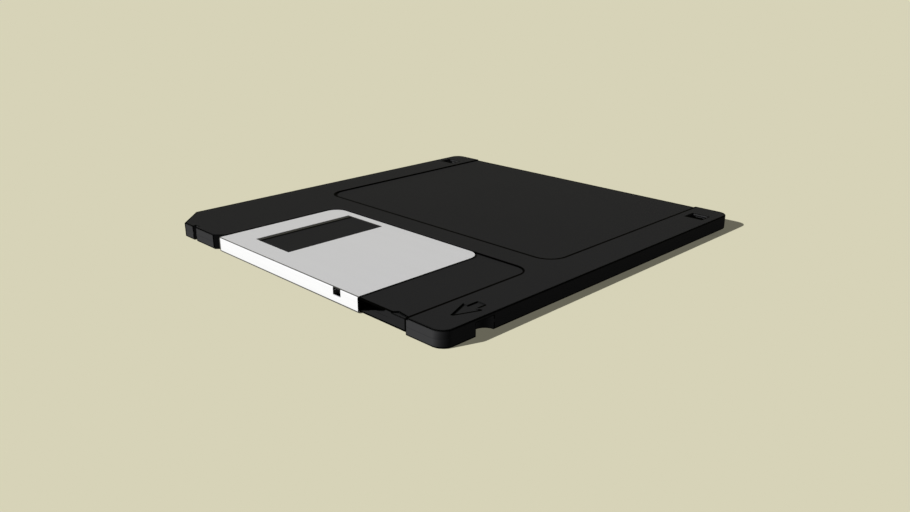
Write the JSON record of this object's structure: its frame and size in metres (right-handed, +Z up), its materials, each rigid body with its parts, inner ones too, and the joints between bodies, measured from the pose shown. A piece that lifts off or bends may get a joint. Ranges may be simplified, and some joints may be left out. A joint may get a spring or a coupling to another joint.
{
  "type": "floppy disk",
  "caption": "Black 90 mm floppy disk cartridge with a sliding steel shutter, a sunk label area, a moulded arrow, a steel hub and a write-protect slider.",
  "frame": {"origin": "middle of the underside, on the disc's axis", "axes": "X across the width, Y from the shutter's edge to the rear edge, Z up through the label side"},
  "size_m": [0.09, 0.094, 0.0033],
  "materials": {
    "case_plastic": "fine spark-eroded texture",
    "shutter_steel": "brushed along its length",
    "spring_wire": "drawn wire",
    "slider_plastic": "fine texture",
    "magnetic_film": "smooth dark brown coating",
    "hub_steel": "plain stamped steel",
    "glue": "pale transfer adhesive",
    "liner_cloth": "off-white non-woven fibre",
    "lifter_film": "translucent polyester",
    "button_plastic": "white low-friction plastic"
  },
  "bodies": {
    "case": {"upper_shell": "case_plastic", "lower_shell": "case_plastic", "upper_liner": "liner_cloth", "lower_liner": "liner_cloth", "liner_lifter": "lifter_film", "wear_button": "button_plastic", "shutter_spring": "spring_wire"},
    "media": {"magnetic_disk": "magnetic_film", "hub": "hub_steel", "hub_adhesive_ring": "glue"},
    "write_tab": {"write_protect_slider": "slider_plastic"},
    "slide": {"shutter": "shutter_steel"}
  },
  "joints": [
    {"name": "shutter_slide", "type": "slide", "parent": "case", "child": "slide", "axis": [1, 0, 0], "range_m": [0, 0.0104], "stiffness_N_per_m": 30, "springref_m": -0.01, "deforming": ["shutter_spring"]},
    {"name": "disk_spin", "type": "hinge", "parent": "case", "child": "media", "pos_m": [0, 0, 0], "axis": [0, 0, 1], "continuous": true},
    {"name": "write_protect_slide", "type": "slide", "parent": "case", "child": "write_tab", "axis": [0, 1, 0], "range_m": [0, 0.0037]}
  ]
}
